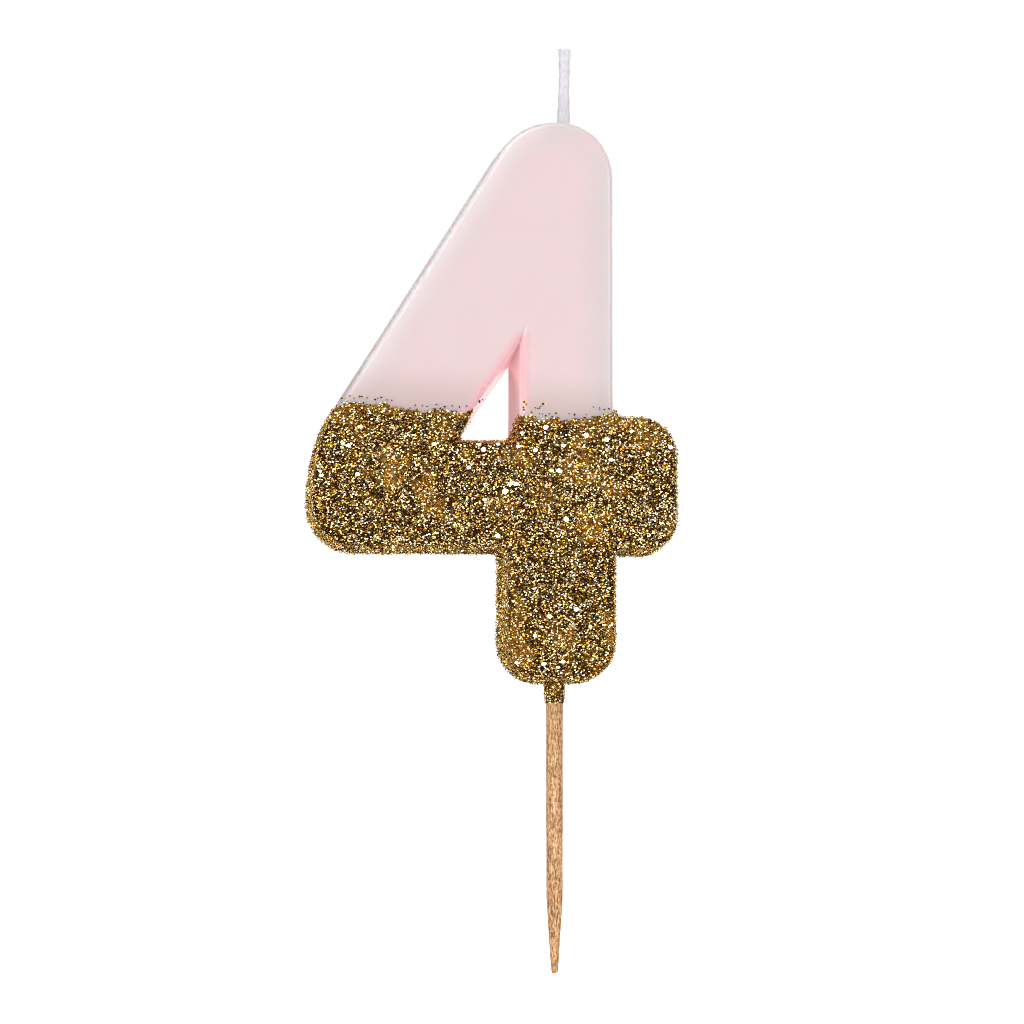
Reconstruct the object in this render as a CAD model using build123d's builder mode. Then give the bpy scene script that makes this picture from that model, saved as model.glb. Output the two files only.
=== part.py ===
from build123d import *
import os
from math import cos, radians, sin, tan

# A birthday candle in the shape of the figure 4: a cast wax figure on a wooden pick,
# with a plaited cotton wick, its lower part dipped in glue and gold glitter flakes.
# Millimetres.  +Z is up and -Y is the front.  The origin is on the pick's axis, at the
# level of the lowest edge of the glittered foot, which comes down on the cake.

# ------------------------------------------------------------------ driving dimensions

# The cast wax figure, given at its back face, which is the larger one.
depth = 12.0
draft = 3.0
front_edge = 0.7
back_edge = 0.2

cap_x = 0.01
cap_z = 63.08
cap_radius = 7.44
brow_radius = 9.0
brow_start = 84.0
slope_angle = 32.3

foot_z = 0.35
stem_left = -6.64
stem_right = cap_x + cap_radius
bar_left = -30.8
bar_underside = 16.76
arm_underside = 16.5
arm_top = 33.45
arm_right = 15.17

shoulder_radius = 24.5
heel_radius = 5.75
foot_radius = 4.8
arm_low_radius = 4.0
arm_high_radius = 5.1
inside_radius = 0.8

# The counter, the three-cornered window of the figure.
window_right = -5.35
window_bottom = 30.4
window_top = 40.35
window_slope = 34.8
window_lip = 0.85

# The wooden pick.
pick_radius = 1.05
pick_shank_low = -26.6
pick_shank_high = -2.35
pick_tip_z = -35.9
pick_tip_radius = 0.42
pick_tip_rounding = 0.25
pick_buried_radius = 0.95
pick_point_start = 24.5
pick_top_z = 28.6
pick_top_radius = 0.3

# The wick, a flat plait of three strands with a slow twist.
wick_x = 1.2
wick_bottom = 32.0
wick_top = 80.1
strand_radius = 0.235
plait_half_width = 0.58
plait_half_thickness = 0.36
plait_pitch = 6.0
plait_steps = 12
plait_twist = 15.0
strand_bend = 0.6
wick_bore_radius = 0.92

# The glitter dip: one skin of glue and flakes over the lower part of the figure.
skin = foot_z
dip_line = [
    (-34.0, 34.9),
    (-24.5, 34.7),
    (-18.0, 33.7),
    (-11.0, 33.9),
    (-2.9, 32.95),
    (3.4, 32.95),
    (6.9, 33.95),
    (17.0, 37.0),
]
dry_strip = 0.9
dry_strip_bottom = 31.5
collar_top_radius = 1.4
collar_low_radius = 1.22

# Single flakes that strayed above the dip, in rows: first flake, last flake, how many.
flake_radius = 0.16
flake_thickness = 0.05
flake_jog = 0.06
flake_rows = [
    ((-25.6, 35.3), (-20.8, 35.1), 6),
    ((-17.2, 34.4), (-12.6, 34.5), 5),
    ((-4.15, 33.8), (-3.95, 34.9), 3),
    ((-3.2, 33.5), (-2.9, 34.4), 3),
    ((-2.6, 33.7), (-2.2, 34.8), 3),
    ((-1.9, 33.5), (-1.6, 34.4), 3),
    ((3.7, 34.1), (6.2, 34.15), 5),
]

back_plane = Plane.XZ.offset(-depth / 2)
front_plane = Plane.XZ.offset(depth / 2)

os.makedirs("parts", exist_ok=True)


# ------------------------------------------------------------------ the figure as a solid


def drafted_figure(growth):
    """The solid figure 4, windowed and drafted, larger by growth on every face."""
    brow_x = cap_x - (brow_radius - cap_radius) * cos(radians(brow_start))
    brow_z = cap_z - (brow_radius - cap_radius) * sin(radians(brow_start))
    slope_normal = 180 - slope_angle
    window_left = window_right - (window_top - window_bottom) * tan(radians(window_slope))
    with BuildPart() as figure:
        with BuildSketch(back_plane.offset(-growth)):
            with BuildLine():
                CenterArc((cap_x, cap_z), cap_radius, 0, brow_start)
                brow = CenterArc((brow_x, brow_z), brow_radius, brow_start, slope_normal - brow_start)
                slope_start = brow @ 1
                slope_end_z = slope_start.Y - (slope_start.X - bar_left) / tan(radians(slope_angle))
                FilletPolyline(
                    slope_start,
                    (bar_left, slope_end_z),
                    (bar_left, bar_underside),
                    (stem_left, bar_underside),
                    (stem_left, foot_z),
                    (stem_right, foot_z),
                    (stem_right, arm_underside),
                    (arm_right, arm_underside),
                    (arm_right, arm_top),
                    (stem_right, arm_top),
                    (stem_right, cap_z),
                    radius=[
                        shoulder_radius,
                        heel_radius,
                        inside_radius,
                        foot_radius,
                        foot_radius,
                        inside_radius,
                        arm_low_radius,
                        arm_high_radius,
                        inside_radius,
                    ],
                )
            make_face()
            if growth > 0:
                offset(amount=growth)
        extrude(amount=depth + 2 * growth, taper=draft)
        with BuildSketch(back_plane.offset(-growth)):
            with BuildLine():
                Polyline(
                    (window_right, window_top),
                    (window_left, window_bottom),
                    (window_right, window_bottom),
                    close=True,
                )
            make_face()
            if growth > 0:
                offset(amount=-growth)
        extrude(amount=depth + 2 * growth, taper=-draft, mode=Mode.SUBTRACT)
        front_face = figure.faces().sort_by(Axis.Y)[0]
        fillet(front_face.outer_wire().edges(), radius=front_edge + growth)
        front_face = figure.faces().sort_by(Axis.Y)[0]
        fillet(front_face.inner_wires()[0].edges(), radius=window_lip)
        back_face = figure.faces().sort_by(Axis.Y)[-1]
        fillet(back_face.outer_wire().edges(), radius=back_edge + growth)
    return figure.part


# ------------------------------------------------------------------ wooden pick

with BuildPart() as pick:
    with BuildSketch(Plane.XZ):
        with BuildLine():
            Polyline(
                (0, pick_top_z),
                (pick_top_radius, pick_top_z),
                (pick_buried_radius, pick_point_start),
                (pick_radius, pick_shank_high),
                (pick_radius, pick_shank_low),
                (pick_tip_radius, pick_tip_z),
                (0, pick_tip_z),
                close=True,
            )
        make_face()
    revolve(axis=Axis.Z)
    fillet(pick.edges().group_by(Axis.Z)[0], radius=pick_tip_rounding)

pick.part.label = "pick"
export_step(pick.part, "parts/pick.step")


# ------------------------------------------------------------------ wax figure

wax_blank = drafted_figure(0)

with BuildPart() as number_body:
    add(wax_blank)
    add(pick.part, mode=Mode.SUBTRACT)
    with BuildSketch(Plane.XY.offset(wick_bottom)):
        with Locations((wick_x, 0)):
            Circle(wick_bore_radius)
    extrude(amount=wick_top - wick_bottom, mode=Mode.SUBTRACT)

number_body.part.label = "number_body"
export_step(number_body.part, "parts/number_body.step")


# ------------------------------------------------------------------ plaited wick


def plait_strand(phase):
    """One strand of the plait: it weaves side to side and front to back at half the pitch."""
    step = plait_pitch / plait_steps
    step_count = int((wick_top - wick_bottom) / step)
    points = []
    for index in range(step_count + 1):
        rise = index * step
        turn = 360 / plait_steps * index + phase
        across = plait_half_width * sin(radians(turn))
        through = plait_half_thickness * sin(radians(2 * turn))
        twist = radians(plait_twist * rise)
        x = wick_x + across * cos(twist) - through * sin(twist)
        y = across * sin(twist) + through * cos(twist)
        points.append((x, y, wick_bottom + rise))
    with BuildPart() as strand:
        with BuildLine():
            route = FilletPolyline(points, radius=strand_bend)
        with BuildSketch(Plane(origin=route @ 0, z_dir=route % 0)):
            Circle(strand_radius)
        sweep()
    return strand.part


for letter, phase in (("a", 0), ("b", 120), ("c", 240)):
    strand = plait_strand(phase)
    strand.label = f"wick_strand_{letter}"
    export_step(strand, f"parts/wick_strand_{letter}.step")


# ------------------------------------------------------------------ glitter dip

with BuildPart() as glitter_coat:
    add(drafted_figure(skin))
    add(wax_blank, mode=Mode.SUBTRACT)
    with BuildSketch(Plane.XZ):
        with BuildLine():
            Spline(dip_line)
            Polyline(dip_line[-1], (dip_line[-1][0], -skin), (dip_line[0][0], -skin), dip_line[0])
        make_face()
    extrude(amount=depth, both=True, mode=Mode.INTERSECT)
    dry_strip_height = dip_line[-1][1] - dry_strip_bottom
    with BuildSketch(back_plane.offset(-skin)):
        with Locations((window_right, dry_strip_bottom)):
            Rectangle(2 * dry_strip, dry_strip_height, align=(Align.CENTER, Align.MIN))
    extrude(amount=depth - window_lip, mode=Mode.SUBTRACT)
    add(pick.part, mode=Mode.SUBTRACT)

glitter_coat.part.label = "glitter_coat"
export_step(glitter_coat.part, "parts/glitter_coat.step")

with BuildPart() as glitter_collar:
    with BuildSketch(Plane.XZ):
        with BuildLine():
            Polyline(
                (0, skin),
                (collar_top_radius, skin),
                (collar_low_radius, pick_shank_high),
                (0, pick_shank_high),
                close=True,
            )
        make_face()
    revolve(axis=Axis.Z)
    add(glitter_coat.part, mode=Mode.SUBTRACT)
    add(pick.part, mode=Mode.SUBTRACT)

glitter_collar.part.label = "glitter_collar"
export_step(glitter_collar.part, "parts/glitter_collar.step")


# ------------------------------------------------------------------ stray flakes


def flake_row(first, last, count):
    """Places in a row from first to last, stepping a little above and below the line by turns."""
    places = []
    for index in range(count):
        share = index / (count - 1)
        jog = flake_jog if index % 2 else -flake_jog
        x = first[0] + share * (last[0] - first[0])
        z = first[1] + share * (last[1] - first[1]) + jog
        places.append((x, z))
    return places


flake_places = []
for first, last, count in flake_rows:
    flake_places += flake_row(first, last, count)

with BuildPart() as stray_flakes:
    with BuildSketch(front_plane):
        with Locations(*flake_places):
            RegularPolygon(flake_radius, side_count=6)
    extrude(amount=flake_thickness)

stray_flakes.part.label = "stray_flakes"
export_step(stray_flakes.part, "parts/stray_flakes.step")
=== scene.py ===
import math

import bpy
import numpy as np
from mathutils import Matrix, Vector, noise
from mathutils.bvhtree import BVHTree


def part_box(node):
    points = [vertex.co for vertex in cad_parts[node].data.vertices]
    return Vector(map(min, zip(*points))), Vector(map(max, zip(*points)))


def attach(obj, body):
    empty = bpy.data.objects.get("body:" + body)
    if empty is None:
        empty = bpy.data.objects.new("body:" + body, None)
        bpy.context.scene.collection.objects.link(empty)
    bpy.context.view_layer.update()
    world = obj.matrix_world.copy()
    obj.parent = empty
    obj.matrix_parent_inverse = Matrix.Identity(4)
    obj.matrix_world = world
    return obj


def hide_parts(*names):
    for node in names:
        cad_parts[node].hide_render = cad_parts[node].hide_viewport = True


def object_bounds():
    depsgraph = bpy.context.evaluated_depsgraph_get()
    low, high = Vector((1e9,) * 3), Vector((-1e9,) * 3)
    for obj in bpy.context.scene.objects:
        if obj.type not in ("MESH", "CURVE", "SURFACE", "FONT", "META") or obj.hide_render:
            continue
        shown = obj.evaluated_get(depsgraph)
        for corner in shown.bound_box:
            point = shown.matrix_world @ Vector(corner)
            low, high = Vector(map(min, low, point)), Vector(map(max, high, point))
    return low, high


# A number birthday candle: a pink wax 4 whose lower half was dipped in glue and gold glitter,
# with a waxed wick and a wooden pick.  Metres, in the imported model's frame: +Z up, -Y to the
# front.  Sizes are given in millimetres and multiplied by MM.

MM = 0.001

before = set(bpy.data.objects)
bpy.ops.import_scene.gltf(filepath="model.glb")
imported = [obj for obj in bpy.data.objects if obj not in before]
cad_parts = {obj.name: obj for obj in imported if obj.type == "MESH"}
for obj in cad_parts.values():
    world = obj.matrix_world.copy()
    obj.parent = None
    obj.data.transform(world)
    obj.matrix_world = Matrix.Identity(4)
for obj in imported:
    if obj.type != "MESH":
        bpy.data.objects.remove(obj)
CAD_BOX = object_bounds()
CAD_LOW, CAD_HIGH = CAD_BOX
BODY_LOW, BODY_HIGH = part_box("number_body")
COLLAR_LOW, COLLAR_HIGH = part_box("glitter_collar")
WICK_LOW, WICK_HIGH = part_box("wick_strand_a")
PICK_LOW, PICK_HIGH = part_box("pick")

# ------------------------------------------------------------------ camera

CAMERA_AZIMUTH = math.radians(-4.2)
CAMERA_ELEVATION = math.radians(-3.0)
CAMERA_DISTANCE = 400 * MM
CAMERA_VIEW_WIDTH = 128.3 * MM
SENSOR_WIDTH = 36.0
CAMERA_AIM = (CAD_LOW + CAD_HIGH) / 2 + Vector((2.5, 0.0, -0.55)) * MM
CAMERA_BACK = Vector(
    (
        math.sin(CAMERA_AZIMUTH) * math.cos(CAMERA_ELEVATION),
        -math.cos(CAMERA_AZIMUTH) * math.cos(CAMERA_ELEVATION),
        math.sin(CAMERA_ELEVATION),
    )
)


def make_camera():
    """The camera stands a little to the left and a little below, and looks up."""
    data = bpy.data.cameras.new("camera")
    data.sensor_width = SENSOR_WIDTH
    data.lens = SENSOR_WIDTH * CAMERA_DISTANCE / CAMERA_VIEW_WIDTH
    data.clip_start = 0.01
    data.clip_end = 20.0
    camera = bpy.data.objects.new("camera", data)
    camera.location = CAMERA_AIM + CAMERA_BACK * CAMERA_DISTANCE
    camera.rotation_euler = (-CAMERA_BACK).to_track_quat("-Z", "Y").to_euler()
    bpy.context.scene.collection.objects.link(camera)
    bpy.context.scene.camera = camera


# ------------------------------------------------------------------ lamps

LAMP_AIM = Vector((-5.0, 0.0, 30.0)) * MM
# name, azimuth, elevation (degrees), distance (m), width, height (m), brightness
LAMPS = [
    ("key", -22, 43, 0.75, 0.26, 0.26, 9.6),
    ("left_strip", -58, 4, 0.70, 0.08, 0.40, 6.5),
    ("right_strip", 46, 16, 0.75, 0.10, 0.46, 6.8),
    ("top", 12, 66, 0.80, 0.26, 0.20, 5.0),
    ("low_front", -18, -34, 0.60, 0.24, 0.12, 8.4),
    ("low_right", 38, -26, 0.70, 0.10, 0.10, 9.0),
    ("window_fill", -40, -6, 0.70, 0.12, 0.12, 6.5),
    ("front_left", -20, 16, 0.90, 0.36, 0.36, 2.7),
    ("front_right", 22, 10, 0.90, 0.36, 0.36, 2.7),
    ("front_low", 4, -20, 0.90, 0.44, 0.25, 2.6),
    ("left_wall", -62, 10, 1.00, 1.00, 1.00, 0.36),
    ("right_wall", 62, 5, 1.00, 0.90, 1.00, 0.34),
    ("ceiling", 0, 62, 1.00, 1.20, 0.80, 0.30),
    ("table_front", 0, -58, 0.90, 1.00, 0.70, 0.45),
    ("table_under", 0, -88, 0.80, 0.90, 0.90, 2.40),
    ("back_left", -132, 4, 0.90, 0.60, 0.60, 2.4),
    ("back_right", 120, 20, 0.90, 0.70, 0.60, 2.6),
    ("back_high", 166, 42, 0.90, 0.50, 0.36, 3.6),
    ("backdrop", 150, 12, 1.00, 1.40, 0.60, 0.90),
]
# Brightness of the grey room and of the white that only the camera sees.
ROOM_LIGHT = 0.012
SEEN_WHITE = 1.05


def lamp_direction(azimuth, elevation):
    a, e = math.radians(azimuth), math.radians(elevation)
    return Vector((math.sin(a) * math.cos(e), -math.cos(a) * math.cos(e), math.sin(e)))


def make_lamps():
    """Soft boxes around the object, each given by its direction, size and brightness."""
    for name, azimuth, elevation, distance, width, height, brightness in LAMPS:
        direction = lamp_direction(azimuth, elevation)
        data = bpy.data.lights.new(name, "AREA")
        data.shape = "RECTANGLE"
        data.size = width
        data.size_y = height
        data.energy = brightness * math.pi * width * height
        lamp = bpy.data.objects.new(name, data)
        lamp.location = LAMP_AIM + direction * distance
        lamp.rotation_euler = direction.to_track_quat("Z", "Y").to_euler()
        lamp.visible_camera = False
        bpy.context.scene.collection.objects.link(lamp)


def make_world():
    """White to the camera, a dim grey room to everything else."""
    world = bpy.data.worlds.new("studio")
    bpy.context.scene.world = world
    world.use_nodes = True
    tree = world.node_tree
    tree.nodes.clear()
    seen = tree.nodes.new("ShaderNodeBackground")
    seen.inputs["Color"].default_value = (1, 1, 1, 1)
    seen.inputs["Strength"].default_value = SEEN_WHITE
    room = tree.nodes.new("ShaderNodeBackground")
    room.inputs["Color"].default_value = (1, 1, 1, 1)
    room.inputs["Strength"].default_value = ROOM_LIGHT
    path = tree.nodes.new("ShaderNodeLightPath")
    mix = tree.nodes.new("ShaderNodeMixShader")
    out = tree.nodes.new("ShaderNodeOutputWorld")
    tree.links.new(path.outputs["Is Camera Ray"], mix.inputs[0])
    tree.links.new(room.outputs[0], mix.inputs[1])
    tree.links.new(seen.outputs[0], mix.inputs[2])
    tree.links.new(mix.outputs[0], out.inputs["Surface"])


FLOOR_REACH = 0.35
FLOOR_SIDES = 96
FLOOR_PALE = (0.9, 0.9, 0.9)
FLOOR_ROUGHNESS = 0.9
FLOOR_GLOW = 0.62


def make_floor():
    """A plain pale lit table at the level of the pick's tip."""
    mesh = bpy.data.meshes.new("floor")
    turn = np.arange(FLOOR_SIDES) * 2 * math.pi / FLOOR_SIDES
    ring = [(FLOOR_REACH * math.cos(t), FLOOR_REACH * math.sin(t), CAD_LOW.z) for t in turn]
    mesh.from_pydata(ring, [], [tuple(range(FLOOR_SIDES))])
    material, shader = new_material("floor")
    shader.inputs["Base Color"].default_value = (*FLOOR_PALE, 1)
    shader.inputs["Roughness"].default_value = FLOOR_ROUGHNESS
    shader.inputs["Emission Color"].default_value = (1, 1, 1, 1)
    shader.inputs["Emission Strength"].default_value = FLOOR_GLOW
    mesh.materials.append(material)
    floor = bpy.data.objects.new("floor", mesh)
    bpy.context.scene.collection.objects.link(floor)
    floor.visible_diffuse = False
    floor.visible_glossy = False
    floor.visible_shadow = False


# ------------------------------------------------------------------ mesh helpers


def new_piece(name, vertices, faces, material):
    """A smooth mesh object that rides on the one body and takes its finish from slot."""
    mesh = bpy.data.meshes.new(name)
    mesh.from_pydata([tuple(v) for v in vertices], [], [tuple(int(i) for i in f) for f in faces])
    mesh.update()
    piece = bpy.data.objects.new(name, mesh)
    bpy.context.scene.collection.objects.link(piece)
    finish_piece(piece, material)
    return piece


def finish_piece(piece, material):
    """Gives a piece its material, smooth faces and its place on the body."""
    piece.data.materials.clear()
    piece.data.materials.append(material)
    piece.data.polygons.foreach_set("use_smooth", [True] * len(piece.data.polygons))
    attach(piece, "root")


def applied_mesh(thing):
    """The mesh of an object with its modifiers applied."""
    graph = bpy.context.evaluated_depsgraph_get()
    graph.update()
    return bpy.data.meshes.new_from_object(thing.evaluated_get(graph))


def vertex_array(mesh):
    flat = np.empty(len(mesh.vertices) * 3)
    mesh.vertices.foreach_get("co", flat)
    return flat.reshape(-1, 3)


def normal_array(mesh):
    flat = np.empty(len(mesh.vertices) * 3)
    mesh.vertices.foreach_get("normal", flat)
    return flat.reshape(-1, 3)


def face_arrays(mesh):
    """The corner indices of a mesh's triangles."""
    mesh.calc_loop_triangles()
    flat = np.empty(len(mesh.loop_triangles) * 3, dtype=np.int32)
    mesh.loop_triangles.foreach_get("vertices", flat)
    return flat.reshape(-1, 3)


def fractal(points, scale, seed=0.0):
    """Smooth noise at each point, about -1 to 1."""
    shift = Vector((seed, seed * 1.7, seed * 0.6))
    return np.array([noise.noise(Vector(p) / scale + shift) for p in points])


def smoothstep(value, low, high):
    """0 below low, 1 above high, and a smooth rise between them."""
    share = np.clip((value - low) / (high - low), 0, 1)
    return share * share * (3 - 2 * share)


def unit(vectors):
    return vectors / np.linalg.norm(vectors, axis=1)[:, None]


def ring_faces(rings, sides):
    """The faces of a closed tube of rings with sides corners each."""
    faces = []
    for ring in range(rings - 1):
        for corner in range(sides):
            other = (corner + 1) % sides
            low, high = ring * sides, (ring + 1) * sides
            faces.append((low + corner, low + other, high + other, high + corner))
    faces.append(tuple(reversed(range(sides))))
    faces.append(tuple(range((rings - 1) * sides, rings * sides)))
    return faces


def lathe(heights, radii, sides):
    """A closed round solid up the Z axis; radii is one row of sides numbers for each height."""
    turn = np.arange(sides) * 2 * math.pi / sides
    vertices = []
    for height, radius in zip(heights, radii):
        ring = np.stack([radius * np.cos(turn), radius * np.sin(turn)], axis=1)
        vertices += [(x, y, height) for x, y in ring]
    return vertices, ring_faces(len(heights), sides)


# ------------------------------------------------------------------ material helpers


def new_material(name):
    """A node material and its Principled shader."""
    material = bpy.data.materials.new(name)
    material.use_nodes = True
    shader = material.node_tree.nodes["Principled BSDF"]
    return material, shader


def add_node(material, kind, **settings):
    node = material.node_tree.nodes.new(kind)
    for key, value in settings.items():
        setattr(node, key, value)
    return node


def link(material, output, target):
    material.node_tree.links.new(output, target)


def noise_node(material, coordinates, scale, detail, roughness):
    """Smooth noise with scale cells to the metre."""
    node = add_node(material, "ShaderNodeTexNoise")
    node.inputs["Scale"].default_value = scale
    node.inputs["Detail"].default_value = detail
    node.inputs["Roughness"].default_value = roughness
    link(material, coordinates, node.inputs["Vector"])
    return node.outputs["Fac"]


def ramp_node(material, factor, stops):
    """A colour ramp; stops are pairs of a place from 0 to 1 and a colour."""
    node = add_node(material, "ShaderNodeValToRGB")
    ramp = node.color_ramp
    ramp.elements[0].position, ramp.elements[0].color = stops[0][0], (*stops[0][1], 1)
    ramp.elements[1].position, ramp.elements[1].color = stops[-1][0], (*stops[-1][1], 1)
    for position, colour in stops[1:-1]:
        ramp.elements.new(position).color = (*colour, 1)
    link(material, factor, node.inputs["Fac"])
    return node.outputs["Color"]


def mix_colours(material, factor, first, second):
    """The first colour where factor is 0, the second where it is 1."""
    node = add_node(material, "ShaderNodeMix", data_type="RGBA")
    if isinstance(factor, float):
        node.inputs["Factor"].default_value = factor
    else:
        link(material, factor, node.inputs["Factor"])
    for value, name in ((first, "A"), (second, "B")):
        target = [i for i in node.inputs if i.name == name and i.type == "RGBA"][0]
        link(material, value, target)
    return [o for o in node.outputs if o.type == "RGBA"][0]


def stretched(material, place, along_z):
    """Coordinates drawn out along Z, for fibres."""
    stretch = add_node(material, "ShaderNodeMapping")
    stretch.inputs["Scale"].default_value = (1.0, 1.0, along_z)
    link(material, place, stretch.inputs["Vector"])
    return stretch.outputs["Vector"]


def bump_node(material, height, strength, distance, shader):
    node = add_node(material, "ShaderNodeBump")
    node.inputs["Strength"].default_value = strength
    node.inputs["Distance"].default_value = distance
    link(material, height, node.inputs["Height"])
    link(material, node.outputs["Normal"], shader.inputs["Normal"])


def calculate(material, operation, *values):
    """One sum on sockets or plain numbers."""
    node = add_node(material, "ShaderNodeMath", operation=operation)
    for target, value in zip(node.inputs, values):
        if isinstance(value, (int, float)):
            target.default_value = value
        else:
            link(material, value, target)
    return node.outputs["Value"]


def past_border(material, place, border, draft=0.0):
    """How far a point is past a straight border, in metres; a drafted border leans with Y."""
    (x, z), distance = border
    dot = add_node(material, "ShaderNodeVectorMath", operation="DOT_PRODUCT")
    link(material, place, dot.inputs[0])
    dot.inputs[1].default_value = (x, draft, z)
    return calculate(material, "SUBTRACT", dot.outputs["Value"], distance * MM)


def fade(material, value, start, end):
    """1 where value is at start, falling smoothly to 0 at end."""
    node = add_node(material, "ShaderNodeMapRange", interpolation_type="SMOOTHSTEP")
    link(material, value, node.inputs["Value"])
    node.inputs["From Min"].default_value = start
    node.inputs["From Max"].default_value = end
    node.inputs["To Min"].default_value = 1.0
    node.inputs["To Max"].default_value = 0.0
    return node.outputs["Result"]


def plain_colour(material, colour):
    node = add_node(material, "ShaderNodeRGB")
    node.outputs["Color"].default_value = (*colour, 1)
    return node.outputs["Color"]


BLACK = (0.0, 0.0, 0.0)
WHITE = (1.0, 1.0, 1.0)

# In each material below a noise is given by its scale, detail and roughness, a ramp by its
# stops, a relief by its strength and depth, and a fade by its start and end.

# ------------------------------------------------------------------ wax

# Painted shade: the greyer tone of the outline's right and top edges. Painted light: the paler tone along
# its slope.
WAX_EDGE_SHADE = (0.595, 0.555, 0.560)
WAX_SLOPE_LIGHT = (0.720, 0.672, 0.682)
WAX_HEART = (0.708, 0.562, 0.573)
WAX_CLOUD = (0.711, 0.580, 0.589)
# Painted light: the deep pink of the wax in and round the window. Painted shade: the darker pink of its
# slanted wall.
WAX_WINDOW_LIT = (0.73, 0.46, 0.485)
WAX_SLANT_SHADE = (0.62, 0.34, 0.38)
# Painted shade: the wax darker and warmer next to the gold.
WAX_DIP_SHADE = (0.480, 0.368, 0.342)
WAX_CLOUDS = (260.0, 4.0, 0.5)
WAX_CLOUD_TONES = [(0.3, WAX_HEART), (0.7, WAX_CLOUD)]
WAX_ROUGHNESS = 0.19
WAX_IOR = 1.45
WAX_SCATTERING = 0.8
WAX_SCATTER_COLOUR = (1.0, 0.5, 0.45)
WAX_SCATTER_DEPTH = 3.4 * MM
WAX_DIMPLES = (3600.0, 3.0, 0.5)
WAX_RELIEF = (0.05, 0.03 * MM)

# Straight borders of the figure and of its window, each with its outward direction in the
# XZ plane and its distance from the origin in millimetres.
OUTLINE = [((1.0, 0.0), 7.1), ((-0.8434, 0.5373), 41.88), ((0.0, 1.0), 70.2)]
OUTLINE_ROUNDING = 3.5 * MM
# The outline's painted shade and painted light fade in over this span of distance past the outline.
OUTLINE_SHADING = (-5.4 * MM, 0.6 * MM)
# The outline's painted tone, a greyer painted shade along the right and the top and a paler painted light
# along the slope, is on the two faces, and the side wall between them is pink.
# The plane halfway between the faces is a border with no outward direction but a draft of 1.
MIDDLE = ((0.0, 0.0), 0.0)
SIDE_WALL = (4.4 * MM, 5.9 * MM)
WINDOW_SIDES = [
    ((1.0, 0.0), -5.04),
    ((-0.8211, 0.5707), 27.73),
    ((0.0, -1.0), -30.09),
    ((0.0, 1.0), 42.0),
]
WINDOW_DRAFT = math.tan(math.radians(3.0))
# The window's deep pink painted light reaches this far past its borders, and the painted shade of its
# slanted wall this far.
WINDOW_LIT_REACH = (0.4 * MM, 1.6 * MM)
WINDOW_DEEP = (0.0, 0.4 * MM)
WINDOW_SLANT_SHADE = (0.0, -0.5 * MM)
WINDOW_NARROW = 5.0 * MM
# Painted light, as emission, for the light that comes through the wax to the window's walls, half as
# strong in its narrow top.
WINDOW_LIGHT = (0.80, 0.50, 0.51)
WINDOW_LIGHT_STRENGTH = 0.45
WINDOW_LIGHT_LEAST = 0.5
DIP_BORDER = ((0.06, 1.0), 33.3)
# Painted shade next to the gold: its reach from the dip's edge and its strength.
DIP_SHADE_REACH = (-1.2 * MM, 6.0 * MM)
DIP_SHADE_SHARE = 0.6


def outline_shading(material, place):
    """How much of the outline's painted shading the wax takes, and how much of that is painted light
    along the slope.
    """
    right, slope, top = (past_border(material, place, border) for border in OUTLINE)
    slope_light_share = fade(material, slope, 0.0, OUTLINE_SHADING[0])
    outside = calculate(material, "SMOOTH_MAX", right, slope, OUTLINE_ROUNDING)
    outside = calculate(material, "SMOOTH_MAX", outside, top, OUTLINE_ROUNDING)
    edge = calculate(material, "SUBTRACT", 1.0, fade(material, outside, *OUTLINE_SHADING))
    from_middle = calculate(material, "ABSOLUTE", past_border(material, place, MIDDLE, 1.0))
    side_wall = fade(material, from_middle, *SIDE_WALL)
    edge = calculate(material, "SUBTRACT", edge, calculate(material, "MULTIPLY", edge, side_wall))
    return edge, slope_light_share


def window_light_and_shade(material, place):
    """How far the wax takes the window's deep pink painted light, the painted shade of its slanted wall,
    and painted light from within.
    """
    sides = [past_border(material, place, border, WINDOW_DRAFT) for border in WINDOW_SIDES]
    beyond = sides[0]
    for side in sides[1:]:
        beyond = calculate(material, "MAXIMUM", beyond, side)
    window_lit_share = fade(material, beyond, *WINDOW_LIT_REACH)
    deep = fade(material, beyond, *WINDOW_DEEP)
    slant_shade = calculate(material, "MULTIPLY", deep, fade(material, sides[1], *WINDOW_SLANT_SHADE))
    wide_part = fade(material, sides[3], -WINDOW_NARROW, 0.0)
    least = WINDOW_LIGHT_LEAST
    strength = calculate(material, "MULTIPLY_ADD", wide_part, 1.0 - least, least)
    return window_lit_share, slant_shade, calculate(material, "MULTIPLY", deep, strength)


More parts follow.
